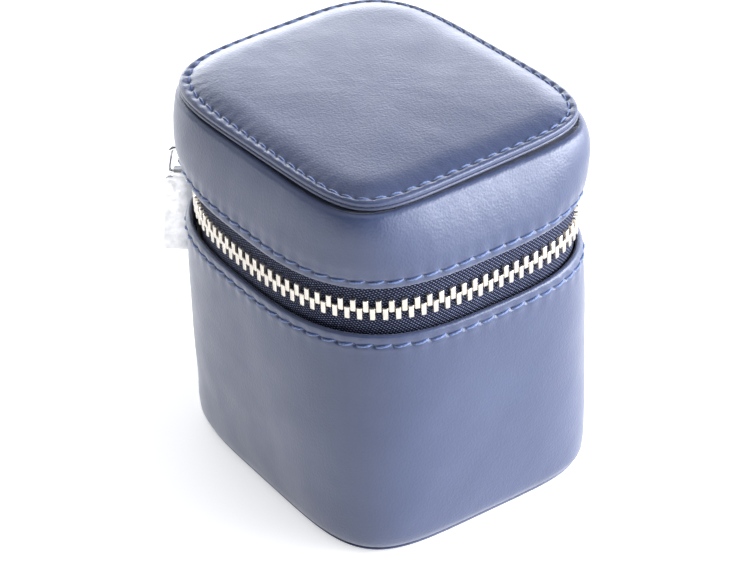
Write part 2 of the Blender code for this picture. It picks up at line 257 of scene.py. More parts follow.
def fan_rows(rings):
    """Faces that join rings of points, where a ring may have half as many points as the last."""
    faces, start = [], 0
    for a, b in zip(rings, rings[1:]):
        n, m = len(a), len(b)
        low, high = start, start + n
        if n == m:
            i = np.arange(n)
            j = (i + 1) % n
            faces += np.stack([low + i, low + j, high + j, high + i], -1).tolist()
        else:
            for i in range(m):
                p, q, r = low + 2 * i, low + 2 * i + 1, low + (2 * i + 2) % n
                c, d = high + i, high + (i + 1) % m
                faces += [[p, q, c], [q, d, c], [q, r, d]]
        start = high
    return faces


def grid_uv(grid, close_rows, close_columns):
    """Distance along and up a grid at each face corner, in metres."""
    middle = grid[len(grid) // 2]
    u = distances(np.concatenate([middle, middle[:1]])) * MM
    ring = np.concatenate([grid, grid[:1]]) if close_rows else grid
    v = distances(ring[:, 0]) * MM
    rows, columns = grid.shape[:2]
    j, i = np.meshgrid(
        np.arange(rows if close_rows else rows - 1),
        np.arange(columns if close_columns else columns - 1),
        indexing="ij",
    )
    corners = [(u[i], v[j]), (u[i + 1], v[j]), (u[i + 1], v[j + 1]), (u[i], v[j + 1])]
    return np.stack([np.stack(c, -1) for c in corners], -2).reshape(-1, 2)


def ring_piece(name, grid, body, material, closed=True, replaces=()):
    """A closed ring of a closed profile, or an open run of one with flat ends."""
    rows, columns = grid.shape[:2]
    faces = grid_faces(rows, columns, True, closed)
    uv = grid_uv(grid, True, closed)
    faces = faces.tolist()
    if not closed:
        first = [j * columns for j in range(rows)]
        last = [j * columns + columns - 1 for j in range(rows)]
        faces += [first, last[::-1]]
        uv = np.concatenate([uv, np.zeros((2 * rows, 2))])
    return object_of(name, grid.reshape(-1, 3), faces, body, material, uv, replaces)


def surface_normals(grid):
    """Normals of a grid of closed rows, from each point's neighbours."""
    across = np.roll(grid, -1, 1) - np.roll(grid, 1, 1)
    up = np.gradient(grid, axis=0)
    normal = np.cross(across, up)
    return normal / np.maximum(np.linalg.norm(normal, axis=-1, keepdims=True), 1e-9)


def spaced(stops):
    """Numbers from stops of (value, step to the next)."""
    values = []
    for (a, step), (b, _) in zip(stops, stops[1:]):
        count = max(1, round(abs(b - a) / step))
        values += list(np.linspace(a, b, count, endpoint=False))
    return values + [stops[-1][0]]


def smooth_path(points, step):
    """A rounded run through points, resampled at about this step."""
    points = np.array(points, float)
    padded = np.vstack([2 * points[0] - points[1], points, 2 * points[-1] - points[-2]])
    found = []
    for k in range(1, len(padded) - 2):
        p0, p1, p2, p3 = padded[k - 1 : k + 3]
        count = max(2, int(np.linalg.norm(p2 - p1) / step) + 1)
        for t in np.linspace(0, 1, count, endpoint=False):
            found.append(0.5 * (2 * p1 + (p2 - p0) * t + (2 * p0 - 5 * p1 + 4 * p2 - p3) * t**2
                                + (3 * p1 - p0 - 3 * p2 + p3) * t**3))
    return np.array(found + [padded[-2]])


def tube(points, radius, sides=8, closed=False, taper=None):
    """Points and faces of a tube along a run, with rounded ends if open."""
    points = np.asarray(points, float)
    count = len(points)
    if closed:
        tangent = np.roll(points, -1, 0) - np.roll(points, 1, 0)
    else:
        tangent = np.gradient(points, axis=0)
    tangent /= np.linalg.norm(tangent, axis=1, keepdims=True)
    side = np.cross(tangent[0], (0, 0, 1))
    if np.linalg.norm(side) < 0.1:
        side = np.cross(tangent[0], (0, 1, 0))
    verts = []
    radii = np.full(count, radius) if taper is None else radius * np.asarray(taper)
    for k in range(count):
        side = side - tangent[k] * (side @ tangent[k])
        side /= np.linalg.norm(side)
        other = np.cross(tangent[k], side)
        a = np.arange(sides) * TAU / sides
        verts.append(points[k] + radii[k] * (np.cos(a)[:, None] * side + np.sin(a)[:, None] * other))
    verts = np.concatenate(verts)
    faces = grid_faces(count, sides, closed, True).tolist()
    if not closed:
        faces += [list(range(sides))[::-1], [(count - 1) * sides + i for i in range(sides)]]
    return verts, faces


def joined(parts):
    """Several (points, faces) as one."""
    verts, faces, start = [], [], 0
    for points, found in parts:
        verts.append(points)
        faces += [[start + i for i in f] for f in found]
        start += len(points)
    return np.concatenate(verts), faces


# ---------------------------------------------------------------- materials

class Shader:
    """A node material, built from short calls."""

    def __init__(self, name):
        self.material = bpy.data.materials.new(name)
        self.material.use_nodes = True
        self.nodes = self.material.node_tree.nodes
        self.links = self.material.node_tree.links
        self.base = self.nodes["Principled BSDF"]

    def node(self, kind, values=None, **settings):
        made = self.nodes.new("ShaderNode" + kind)
        for key, value in settings.items():
            setattr(made, key, value)
        for key, value in (values or {}).items():
            self.put(made.inputs[key], value)
        return made

    def put(self, socket, value):
        if isinstance(value, bpy.types.NodeSocket):
            self.links.new(value, socket)
        else:
            socket.default_value = value

    def set(self, **values):
        for key, value in values.items():
            self.put(self.base.inputs[key.replace("_", " ")], value)

    def where(self):
        return self.node("TexCoord").outputs["Object"]

    def noise(self, scale, detail=3.0, rough=0.55, at=None):
        made = self.node("TexNoise", {"Scale": scale, "Detail": detail, "Roughness": rough})
        self.links.new(at or self.where(), made.inputs["Vector"])
        return made.outputs["Fac"]

    def cells(self, scale, at=None):
        made = self.node("TexVoronoi", {"Scale": scale}, feature="F1")
        self.links.new(at or self.where(), made.inputs["Vector"])
        return made.outputs["Distance"]

    def math(self, kind, a, b=0.0):
        made = self.node("Math", operation=kind)
        for socket, value in zip(made.inputs, (a, b)):
            self.put(socket, value)
        return made.outputs["Value"]

    def spread(self, value, low, high, to_low=0.0, to_high=1.0):
        ends = {"From Min": low, "From Max": high, "To Min": to_low, "To Max": to_high}
        made = self.node("MapRange", ends)
        self.put(made.inputs["Value"], value)
        return made.outputs["Result"]

    def mix(self, factor, a, b):
        made = self.node("Mix", data_type="RGBA")
        self.put(made.inputs["Factor"], factor)
        self.put(made.inputs["A"], (*a, 1.0) if isinstance(a, tuple) else a)
        self.put(made.inputs["B"], (*b, 1.0) if isinstance(b, tuple) else b)
        return made.outputs["Result"]

    def bump(self, height, strength, distance, under=None):
        made = self.node("Bump", {"Strength": strength, "Distance": distance})
        self.links.new(height, made.inputs["Height"])
        if under is not None:
            self.links.new(under, made.inputs["Normal"])
        return made.outputs["Normal"]


def leather(name, dark, light, roughness):
    """Smooth dyed calf: a very fine grain, faint mottling, a soft waxy shine."""
    s = Shader(name)
    at = s.where()
    mottling = s.noise(55.0, 4.0, 0.6, at)
    pores = s.noise(2600.0, 2.0, 0.5, at)
    grain = s.cells(2100.0, at)
    tone = s.math("ADD", s.spread(mottling, 0.3, 0.7, 0.0, 0.75), s.spread(pores, 0.3, 0.7, 0.0, 0.25))
    height = s.math("ADD", s.math("MULTIPLY", grain, 0.7), s.math("MULTIPLY", pores, 0.5))
    slow = s.noise(170.0, 3.0, 0.5, at)
    s.set(
        Base_Color=s.mix(tone, dark, light),
        Roughness=s.spread(slow, 0.3, 0.7, roughness - 0.05, roughness + 0.07),
        Normal=s.bump(height, 0.75, 0.00007, s.bump(slow, 0.1, 0.0004)),
        Specular_IOR_Level=0.55,
        Coat_Weight=0.4,
        Coat_Roughness=0.36,
        Sheen_Weight=0.3,
        Sheen_Roughness=0.4,
    )
    return s.material


def thread_look(name, dark, light):
    """Waxed sewing thread: two plies twisted along each stitch."""
    s = Shader(name)
    at = s.where()
    fibre = s.noise(3200.0, 3.0, 0.6, at)
    ply = s.cells(2300.0, at)
    s.set(
        Base_Color=s.mix(s.spread(fibre, 0.3, 0.7), dark, light),
        Roughness=0.6,
        Normal=s.bump(s.math("ADD", fibre, ply), 0.5, 0.0001),
        Sheen_Weight=0.25,
    )
    return s.material


def tape_look(name):
    """Twill: rows of pale knots that slant across a near-black weave, spaced in metres."""
    rib_width = 0.00078
    pick_width = 0.0005
    s = Shader(name)
    uv = s.node("UVMap", uv_map="Along").outputs["UV"]
    split = s.node("SeparateXYZ", {"Vector": uv})
    u, v = split.outputs["X"], split.outputs["Y"]
    lean = s.math("ADD", u, v)
    rib = s.spread(s.math("SINE", s.math("MULTIPLY", lean, TAU / rib_width)), -0.35, 0.95)
    pick = s.math("SUBTRACT", v, s.math("MULTIPLY", u, 0.35))
    knot = s.spread(s.math("SINE", s.math("MULTIPLY", pick, TAU / pick_width)), -0.35, 0.95)
    weave = s.math("MULTIPLY", rib, knot)
    fuzz = s.noise(2600.0, 3.0, 0.6)
    tone = s.math("MULTIPLY", weave, s.spread(fuzz, 0.3, 0.7, 0.45, 1.0))
    s.set(
        Base_Color=s.mix(tone, (0.0025, 0.004, 0.016), (0.34, 0.40, 0.68)),
        Roughness=0.8,
        Normal=s.bump(weave, 0.9, 0.00014, s.bump(fuzz, 0.3, 0.00006)),
        Specular_IOR_Level=0.25,
        Sheen_Weight=0.05,
    )
    return s.material


def metal_look(name, colour, roughness, scratches):
    """Polished plated metal with faint wear."""
    s = Shader(name)
    at = s.where()
    wear = s.noise(900.0, 4.0, 0.65, at)
    fine = s.noise(4200.0, 2.0, 0.5, at)
    dull = tuple(0.86 * c for c in colour)
    s.set(
        Base_Color=s.mix(s.spread(wear, 0.35, 0.75), colour, dull),
        Metallic=1.0,
        Roughness=s.spread(wear, 0.3, 0.7, roughness * 0.7, roughness * 1.4),
        Normal=s.bump(fine, scratches, 0.00002),
    )
    return s.material


def cloth_look(name, dark, light, scale=2400.0, sheen=0.5):
    """Brushed lining cloth or padding: a short, soft nap."""
    s = Shader(name)
    at = s.where()
    nap = s.noise(scale, 4.0, 0.7, at)
    slow = s.noise(90.0, 3.0, 0.6, at)
    tone = s.math("ADD", s.spread(nap, 0.3, 0.7, 0.0, 0.6), s.spread(slow, 0.3, 0.7, 0.0, 0.4))
    s.set(
        Base_Color=s.mix(tone, dark, light),
        Roughness=0.92,
        Normal=s.bump(nap, 0.5, 0.00015),
        Sheen_Weight=sheen,
        Sheen_Roughness=0.45,
    )
    return s.material


def board_look(name):
    """Pressed fibre board."""
    s = Shader(name)
    fibres = s.noise(1300.0, 5.0, 0.7)
    s.set(
        Base_Color=s.mix(s.spread(fibres, 0.3, 0.7), (0.30, 0.23, 0.15), (0.48, 0.39, 0.27)),
        Roughness=0.9,
        Normal=s.bump(fibres, 0.4, 0.0001),
    )
    return s.material


LEATHER = leather("navy_leather", (0.043, 0.061, 0.138), (0.056, 0.078, 0.168), 0.38)
EDGE_LEATHER = leather("navy_leather_edge", (0.045, 0.059, 0.12), (0.06, 0.077, 0.152), 0.36)
THREAD = thread_look("blue_thread", (0.09, 0.14, 0.31), (0.22, 0.31, 0.58))
TAPE = tape_look("zip_tape_weave")
TEETH = metal_look("zip_teeth_metal", (0.78, 0.73, 0.66), 0.3, 0.12)
NICKEL = metal_look("polished_nickel", (0.86, 0.86, 0.87), 0.09, 0.05)
SATIN = metal_look("satin_nickel", (0.93, 0.93, 0.94), 0.38, 0.05)
LINING = cloth_look("lining_nap", (0.035, 0.038, 0.05), (0.09, 0.095, 0.12))
FOAM = cloth_look("padding_foam", (0.30, 0.30, 0.31), (0.45, 0.45, 0.46), 1500.0, 0.1)
BOARD = board_look("stiffening_board")


# ---------------------------------------------------------------- stitched leather

def pucker(along, across, pitch, depth=0.16, puff=0.10, inner=1.0):
    """How stitches pull leather in: a channel, a hole at each end, soft swells between them.

    across is 0 on the stitch line. inner is how much of the holes and swells shows below 0.
    """
    phase = TAU * along / pitch
    hole = (np.mod(along / pitch + 0.5, 1.0) - 0.5) * pitch
    slit = across + 0.5 * hole
    channel = -depth * np.exp(-((across / 0.5) ** 2)) * (0.65 + 0.35 * np.cos(phase))
    holes = -NEEDLE_SINK * np.exp(-((hole / 0.5) ** 2) - (slit / 0.32) ** 2)
    swell = puff * np.exp(-(((np.abs(across) - 0.9) / 0.55) ** 2)) * (0.5 - 0.5 * np.cos(phase))
    lines = -0.035 * np.exp(-(((np.abs(across) - 1.8) / 1.2) ** 2)) * np.cos(phase)
    side = inner + (1 - inner) / (1 + np.exp(across / 0.12))
    return channel + (holes + swell + lines) * side


def stitches(row, place, skip_degrees, slant, radius, seed):
    """Thread from hole to hole. place gives points, outward and across directions at distances."""
    rng = np.random.default_rng(seed)
    parts = []
    for k in range(row.count):
        middle = math.degrees(row.direction((k + 0.5) * row.pitch))
        if min(abs(middle - 90), abs(middle - 450)) < skip_degrees:
            continue
        t = np.linspace(0, 1, 11)
        inset = 0.1
        distance = (k + inset + (1 - 2 * inset) * t) * row.pitch
        point, out, across = place(distance)
        lift = -0.38 + (0.30 + radius) * np.sin(math.pi * t) ** 0.5 + rng.uniform(-0.02, 0.02)
        lean = slant * (t - 0.5) + rng.uniform(-0.04, 0.04)
        run = point + out * lift[:, None] + across * lean[:, None]
        thick = (1.0 + 0.08 * np.sin(TAU * 3 * t + k)) * (0.7 + 0.3 * np.sin(math.pi * t) ** 0.5)
        parts.append(tube(run, radius, 8, False, thick))
    return joined(parts)


def stitched_wall(keys, profile, row, row_z, first, last, lip_z, seed):
    """Wall points with the stitch row's puckers in rows first to last of the profile."""
    angle = even_angles(row.shape, round(row.count * 14))
    grid = wall_points(keys, profile, angle)
    normal = surface_normals(grid)
    along = row.along(angle)[None, :]
    z = np.array([p[0] for p in profile])[:, None]
    move = pucker(along, z - row_z, row.pitch)
    move += 0.07 * ripple(grid, 16.0, seed) + 0.02 * ripple(grid, 4.0, seed + 1)
    keep = np.zeros(len(profile))
    keep[first : last + 1] = 1.0
    keep *= np.clip(np.abs(z[:, 0] - lip_z) / 1.1, 0.0, 1.0) ** 1.5
    return grid + normal * (move * keep[:, None])[..., None]


def wall_place(keys, row, z):
    """Where stitches lie on a wall."""
    def place(distance):
        point, normal = outline(eased(keys, z), row.direction(distance))
        up = np.tile((0.0, 0.0, 1.0), (len(distance), 1))
        return at_height(point, z), at_height(normal, 0.0), up
    return place


def case_body():
    """The body's wall: a turned-in foot, a puffed side, and a rolled lip with its stitches."""
    row = Row(eased(BODY_KEYS, BODY_STITCH_Z), STITCH_PITCH)
    outer = [(0.8, -0.95), (0.82, -0.6), (0.98, -0.36), (1.3, -0.2), (1.9, -0.06)]
    heights = spaced([(2.6, 1.1), (8.0, 1.6), (40.0, 1.0), (43.5, 0.35), (45.1, 0.16), (47.3, 0.2)])
    outer += [(z, 0.09 * math.exp(-((z - 47.4) / 0.7) ** 2)) for z in heights]
    lip = [(47.5, 0.1), (47.8, 0.12), (48.1, 0.1), (48.34, 0.02), (48.5, -0.14), (48.58, -0.38),
           (48.52, -0.66), (48.3, -0.92), (47.9, -1.1)]
    inner = [(z, WALL_INSIDE) for z in spaced([(47.2, 3.0), (2.0, 1.0)])]
    profile = outer + lip + inner
    grid = stitched_wall(BODY_KEYS, profile, row, BODY_STITCH_Z,
                         first=4, last=len(outer) + 5, lip_z=48.6, seed=11)
    wall = ring_piece("case_body_leather", grid, "case_body", LEATHER,
                      replaces=("body_leather_wall",))
    place = wall_place(BODY_KEYS, row, BODY_STITCH_Z)
    verts, faces = stitches(row, place, STITCH_GAP, slant=0.5, radius=0.22, seed=21)
    object_of("body_edge_stitches", verts, faces, "case_body", THREAD,
              replaces=("body_edge_thread",))


def lid_wall():
    """The lid's wall: a rolled lower lip with its stitches, and a shoulder under the top's rim."""
    row = Row(eased(LID_KEYS, LID_STITCH_Z), STITCH_PITCH)
    inner = [(z, WALL_INSIDE) for z in spaced([(71.5, 3.0), (60.4, 1.0)])]
    lip = [(59.7, -1.15), (59.25, -1.0), (59.0, -0.72), (58.92, -0.42), (59.0, -0.15), (59.2, 0.02),
           (59.5, 0.1), (59.85, 0.1)]
    heights = spaced([(60.1, 0.16), (62.2, 0.35), (64.0, 0.9), (72.8, 0.5)])
    shoulder = [(73.05, -0.02), (73.32, -0.1), (73.55, -0.26), (73.7, -0.5), (73.74, -0.8),
                (73.66, -1.1), (73.45, -1.35), (73.28, -1.6), (73.2, -2.6), (72.9, -2.7), (72.7, -2.4)]
    profile = inner + lip + [(z, 0.0) for z in heights] + shoulder
    grid = stitched_wall(LID_KEYS, profile, row, LID_STITCH_Z,
                         first=len(inner) + 2, last=len(profile) - 4, lip_z=59.0, seed=31)
    wall = ring_piece("lid_wall_leather", grid, "lid", LEATHER,
                      replaces=("lid_leather_wall",))
    place = wall_place(LID_KEYS, row, LID_STITCH_Z)
    verts, faces = stitches(row, place, STITCH_GAP, slant=0.4, radius=0.21, seed=41)
    object_of("lid_edge_stitches", verts, faces, "lid", THREAD,
              replaces=("lid_edge_thread",))


def blend_outline(share, angle, inset=0.0):
    """Between the rim's outline at 0 and the stitch line's at 1, moved in by a distance."""
    rim, rim_normal = outline(RIM_OUTLINE, angle)
    line, line_normal = outline(STITCH_OUTLINE, angle)
    normal = rim_normal * (1 - share) + line_normal * share
    normal /= np.linalg.norm(normal, axis=-1, keepdims=True)
    return rim * (1 - share) + line * share - inset * normal


def pad_rings(last, centre):
    """Rings from the edge of the pad to near its centre, halving their points as they shrink."""
    rings = []
    fine_count = count = len(last)
    for k, scale in enumerate((0.93, 0.86, 0.78, 0.68, 0.56, 0.43, 0.29, 0.14)):
        if k % 2 == 1 and fine_count % 2 == 0 and fine_count > 40:
            fine_count //= 2
        base = last[:: count // fine_count][:, :2]
        point = centre + (base - centre) * scale
        z = last[:, 2].mean() + PAD_DOME * (1 - scale**2)
        rings.append(at_height(point, z))
    return rings


def top_panel():
    """The puffed panel: a rolled rim, a stitched channel, and a pad that domes to the middle."""
    row = Row(STITCH_OUTLINE, TOP_PITCH)
    count = row.count * 16
    angle = even_angles(STITCH_OUTLINE, count)
    along = row.along(angle)
    rim = [(PANEL_UNDER, 0.4), (75.03, 0.16), (75.12, 0.05), (75.35, 0.0), (75.62, 0.01),
           (75.84, 0.09), (75.98, 0.27)]
    rings = [at_height(blend_outline(1.0, angle, 1.5), PANEL_UNDER)]
    rings += [at_height(blend_outline(inset / RIM_WIDTH, angle), z) for z, inset in rim]
    for d in spaced([(0.5, 0.15), (3.4, 0.3), (7.2, 0.6)]):
        inset = max(0.0, d - RIM_WIDTH)
        point = blend_outline(min(1.0, d / RIM_WIDTH), angle, inset)
        z = PANEL_SEAM + PAD_RISE * (1 - math.exp(-((inset / PAD_EDGE) ** 1.3)))
        height = z + pucker(along, np.full(count, d - RIM_WIDTH), row.pitch, 0.1, 0.035, 0.25)
        rings.append(np.column_stack([point, height]))
    centre = rings[-1].mean(axis=0)[:2]
    rings += pad_rings(rings[-1], centre)
    for ring in rings[1 + len(rim) :]:
        fade = 1.0 if len(ring) != count else 0.6
        ring[:, 2] += fade * (0.06 * ripple(ring, 14.0, 51) + 0.015 * ripple(ring, 4.5, 52))
    faces = fan_rows(rings)
    verts = np.concatenate(rings)
    total = len(verts)
    inner = len(rings[-1])
    verts = np.vstack([verts, [*centre, rings[-1][:, 2].mean() + 0.01], [*centre, PANEL_UNDER]])
    faces += fan(total - inner, inner, total) + fan(0, count, total + 1, flip=True)
    panel = object_of("lid_top_leather", verts, faces, "lid", LEATHER,
                      replaces=("lid_top_panel",))

    def place(distance):
        point, normal = outline(STITCH_OUTLINE, row.direction(distance))
        up = np.tile((0.0, 0.0, 1.0), (len(distance), 1))
        return at_height(point, PANEL_SEAM - 0.05), up, at_height(normal, 0.0)

    verts, faces = stitches(row, place, 0.0, slant=0.12, radius=0.17, seed=61)
    object_of("lid_top_stitches", verts, faces, "lid", THREAD,
              replaces=("lid_top_thread",))


def top_welt():
    """The turned edge under the panel's rim."""
    angle = even_angles(STITCH_OUTLINE, 600)
    profile = [(73.2, -3.0), (73.2, -1.9), (73.6, -1.8), (74.1, -1.7), (74.3, -1.5), (74.34, -1.0),
               (74.35, -0.3), (74.39, -0.08), (74.5, 0.06), (74.66, 0.11), (74.82, 0.07),
               (74.94, -0.06), (PANEL_UNDER, -0.3), (PANEL_UNDER, -3.0)]
    rim, _ = outline(RIM_OUTLINE, angle)
    line, _ = outline(STITCH_OUTLINE, angle)
    outward = (rim - line) / np.linalg.norm(rim - line, axis=-1, keepdims=True)
    rows = [at_height(rim + outward * out, z) for z, out in profile]
    ring_piece("lid_rim_welt", np.array(rows), "lid", EDGE_LEATHER,
               replaces=("lid_top_welt",))


def base_panel():
    """The flat base, with a softened edge."""
    thickness = 0.6
    count = 400
    shape = eased(BODY_KEYS, thickness)
    angle = even_angles(shape, count)
    edge, normal = outline(shape, angle)
    profile = [(0.0, -2.6), (0.0, -1.1), (0.05, -0.75), (0.2, -0.5), (0.4, -0.45), (0.54, -0.55),
               (thickness, -0.95), (thickness, -1.6)]
    rings = [at_height(edge + out * normal, z) for z, out in profile]
    faces = fan_rows(rings)
    verts = np.vstack([np.concatenate(rings), [0, 0, 0], [0, 0, thickness]])
    faces += fan(0, count, len(verts) - 2, flip=True)
    faces += fan(count * (len(profile) - 1), count, len(verts) - 1)
    object_of("base_leather", verts, faces, "case_body", LEATHER,
              replaces=("base_leather_panel",))


# ---------------------------------------------------------------- zip

def bevelled_box(size, centre, bevel, segments=3):
    """A box with rounded edges, in millimetres."""
    bm = bmesh.new()
    bmesh.ops.create_cube(bm, size=1.0)
    for vert in bm.verts:
        vert.co = Vector([c * s for c, s in zip(vert.co, size)]) + Vector(centre)
    bmesh.ops.bevel(bm, geom=bm.edges[:], offset=bevel, segments=segments, affect="EDGES", profile=0.5)
    return bm


def united(solids, cuts=()):
    """(points, faces) of solids joined and cut, in millimetres."""
    objects = []
    for bm in (*solids, *cuts):
        bmesh.ops.recalc_face_normals(bm, faces=bm.faces)
        mesh = bpy.data.meshes.new("tool")
        bm.to_mesh(mesh)
        bm.free()
        objects.append(new_object("tool", mesh))
    for k, other in enumerate(objects[1:], 1):
        modifier = objects[0].modifiers.new("join", "BOOLEAN")
        modifier.operation = "UNION" if k < len(solids) else "DIFFERENCE"
        modifier.solver = "EXACT"
        modifier.object = other
    graph = bpy.context.evaluated_depsgraph_get()
    mesh = bpy.data.meshes.new_from_object(objects[0].evaluated_get(graph))
    verts = np.array([v.co for v in mesh.vertices])
    faces = [list(p.vertices) for p in mesh.polygons]
    for obj in objects:
        data = obj.data
        bpy.data.objects.remove(obj, do_unlink=True)
        bpy.data.meshes.remove(data)
    bpy.data.meshes.remove(mesh)
    return verts, faces


def tooth_shape():
    """One tooth: X along the chain, Y out, Z towards its own tape."""
    leg = bevelled_box((1.0, 2.2, 2.5), (0, 0, 0.79), 0.2)
    nib = bevelled_box((0.6, 1.3, 0.72), (0.32, 0.1, 0.0), 0.16, 2)
    return united([leg, nib])


def zip_chain():
    """Two rows of teeth that mesh, half a pitch apart."""
    shape = tuple(eased(ZIP_KEYS, ZIP_Z))
    whole = Row(shape, TOOTH_PITCH)
    first = np.interp(math.radians(90 + CHAIN_GAP), whole.angle, whole.length)
    last = np.interp(math.radians(450 - CHAIN_GAP), whole.angle, whole.length)
    count = int((last - first) / TOOTH_PITCH)
    verts, faces = tooth_shape()
    for name, body, node, side, shift in (
        ("lower_teeth", "case_body", "lower_tooth_row", -1.0, TOOTH_PHASE),
        ("upper_teeth", "lid", "upper_tooth_row", 1.0, TOOTH_PHASE + 0.5),
    ):
        parts = []
        for k in range(count):
            distance = first + (k + shift) * TOOTH_PITCH
            angle = np.array([np.interp(distance, whole.length, whole.angle)])
            point, normal = outline(shape, angle)
            out = np.array([*normal[0], 0.0])
            up = np.array([0.0, 0.0, side])
            along = np.cross(out, up)
            centre = np.array([*point[0], ZIP_Z]) + out * TAPE_INSET
            moved = centre + verts[:, :1] * along + verts[:, 1:2] * out + verts[:, 2:] * up
            parts.append((moved, faces))
        points, found = joined(parts)
        object_of(name, points, found, body, TEETH, replaces=(node,))


def tape_band(name, low, high, body, node):
    """A strip of tape from its hidden edge at low to its corded edge at high.

    The corded edge keeps TAPE_APART from the middle of the chain, gives way where the slider
    sits, and meets the other tape's past the chain's ends.
    """
    angle = np.radians(np.linspace(90 + TAPE_GAP, 450 - TAPE_GAP, 721))
    up = 1 if high > low else -1
    heights = np.linspace(low, high, 15)
    outer = [(z, TAPE_INSET + 0.28 - 0.25 * max(0.0, (abs(z - ZIP_Z) - 4.0) / 3.0)) for z in heights]
    inner = [(z, out - 0.56) for z, out in outer]
    cord = [(high + up * rise, TAPE_INSET + out)
            for rise, out in ((0.30, 0.42), (0.62, 0.36), (0.8, 0.0), (0.62, -0.36), (0.30, -0.42))]
    profile = outer + cord + inner[::-1]
    if up < 0:
        profile = profile[::-1]
    grid = wall_points(ZIP_KEYS, profile, angle)
    from_left = np.degrees(angle) - 90
    left = np.interp(from_left, [21.8, 23.2, 36.0, 37.0], [0.05, 1.05, 1.05, TAPE_APART])
    right = np.interp(360 - from_left, [28.0, 33.0], [0.05, TAPE_APART])
    apart = np.where(from_left < 180, left, right)
    reach = np.clip((grid[..., 2] - low) / (high - low), 0, 1)
    grid[..., 2] += up * reach * (1.1 - apart)
    ring_piece(name, grid, body, TAPE, closed=False, replaces=(node,))


# ---------------------------------------------------------------- slider and pull

# Axes of the slider: along the chain, out of the case, and up. The pull hangs from its bail.
SLIDER_AT = (-17.901, 31.365, 53.0)
SLIDER_ALONG = (0.90495, 0.42552, 0.0)
SLIDER_OUT = (-0.42552, 0.90495, 0.0)
BAIL_OUT = 5.4
BAIL_UP = 0.9
PULL_TURN = 31
PULL_LEAN = 6
LINK_INNER = -1.75
LINK_OUTER_TOP = 2.6
LINK_OUTER_FOOT = 3.1
LINK_TOP = 1.5
LINK_FOOT = -3.7
TAB_WIDTH = 5.8
TAB_LENGTH = 17.5
TAB_CLEAR = 0.9


def slider_axes():
    turn = Matrix((SLIDER_ALONG, SLIDER_OUT, (0, 0, 1))).transposed().to_4x4()
    return Matrix.Translation(SLIDER_AT) @ turn


def pull_axes():
    turn = Matrix.Rotation(math.radians(90 + PULL_TURN), 4, "Z")
    lean = Matrix.Rotation(math.radians(-PULL_LEAN), 4, "Y")
    return slider_axes() @ Matrix.Translation((0, BAIL_OUT, BAIL_UP)) @ turn @ lean


def placed(points, axes):
    """Points moved from a piece's own axes to the frame's."""
    m = np.array(axes)
    return points @ m[:3, :3].T + m[:3, 3]


def plate(points, low, high, bevel):
    """A plate of this outline in X and Z, from low to high along Y, with softened edges."""
    bm = bmesh.new()
    near, far = ([bm.verts.new((a, level, b)) for a, b in points] for level in (low, high))
    bm.faces.new(near)
    bm.faces.new(far[::-1])
    for i in range(len(points)):
        j = (i + 1) % len(points)
        bm.faces.new([near[i], far[i], far[j], near[j]])
    bmesh.ops.recalc_face_normals(bm, faces=bm.faces)
    edges = [e for e in bm.edges if abs(e.verts[0].co.y - e.verts[1].co.y) < 1e-6]
    bmesh.ops.bevel(bm, geom=edges, offset=bevel, segments=3, affect="EDGES", profile=0.5)
    return bm


def solid_from(verts, faces):
    """Points and faces as a mesh that can be joined to others."""
    bm = bmesh.new()
    made = [bm.verts.new(v) for v in verts]
    for f in faces:
        bm.faces.new([made[i] for i in f])
    return bm


def rounded_shape(corners, radius, steps=6):
    """A closed outline whose corners are rounded, as (a, b) points."""
    found = []
    count = len(corners)
    for k in range(count):
        before, at, after = (Vector(corners[(k + d) % count]) for d in (-1, 0, 1))
        reach = min(radius, (before - at).length * 0.49, (after - at).length * 0.49)
        start = at + (before - at).normalized() * reach
        end = at + (after - at).normalized() * reach
        for step in range(steps + 1):
            t = step / steps
            found.append(tuple(start * (1 - t) ** 2 + at * 2 * t * (1 - t) + end * t**2))
    return found


def slider_body():
    """Two plates joined by a post, side rails that leave room for the tapes, and an arched bail."""
    shape = [(-4.1, -2.5), (-1.6, -3.5), (2.6, -3.55), (4.1, -2.6), (3.7, -0.9), (3.7, 0.9), (4.1, 2.6),
             (2.6, 3.55), (-1.6, 3.5), (-4.1, 2.5)]
    shape = rounded_shape(shape, 0.9)
    solids = [plate(shape, 1.95, 2.88, 0.3), plate(shape, -2.88, -1.95, 0.3)]
    rail = rounded_shape([(-3.6, 2.55), (3.2, 2.55), (2.7, 3.4), (-1.8, 3.4)], 0.3, 3)
    for side in (-1, 1):
        for low, high in ((1.25, 2.1), (-2.1, -1.25)):
            solids.append(plate([(a, side * b) for a, b in rail][::side], low, high, 0.12))
    solids.append(bevelled_box((2.3, 4.4, 1.7), (2.5, 0, 0), 0.3))
    solids.append(bevelled_box((5.0, 0.35, 2.2), (-0.1, 2.95, BAIL_UP - 0.5), 0.16))
    half = [(-3.1, 2.3), (-2.95, 3.6), (-2.6, 4.75), (-1.8, 5.35)]
    whole = half + [(0, BAIL_OUT)] + [(-a, b) for a, b in half[::-1]]
    arch = smooth_path([(a, b, BAIL_UP) for a, b in whole], 0.25)
    reach = np.linspace(-1, 1, len(arch))
    solids.append(solid_from(*tube(arch, 0.53, 14, False, 1 + 0.25 * abs(reach) ** 4)))
    verts, faces = united(solids)
    object_of("slider_detailed", placed(verts, slider_axes()), faces, "slider", NICKEL,
              replaces=("slider_body",))


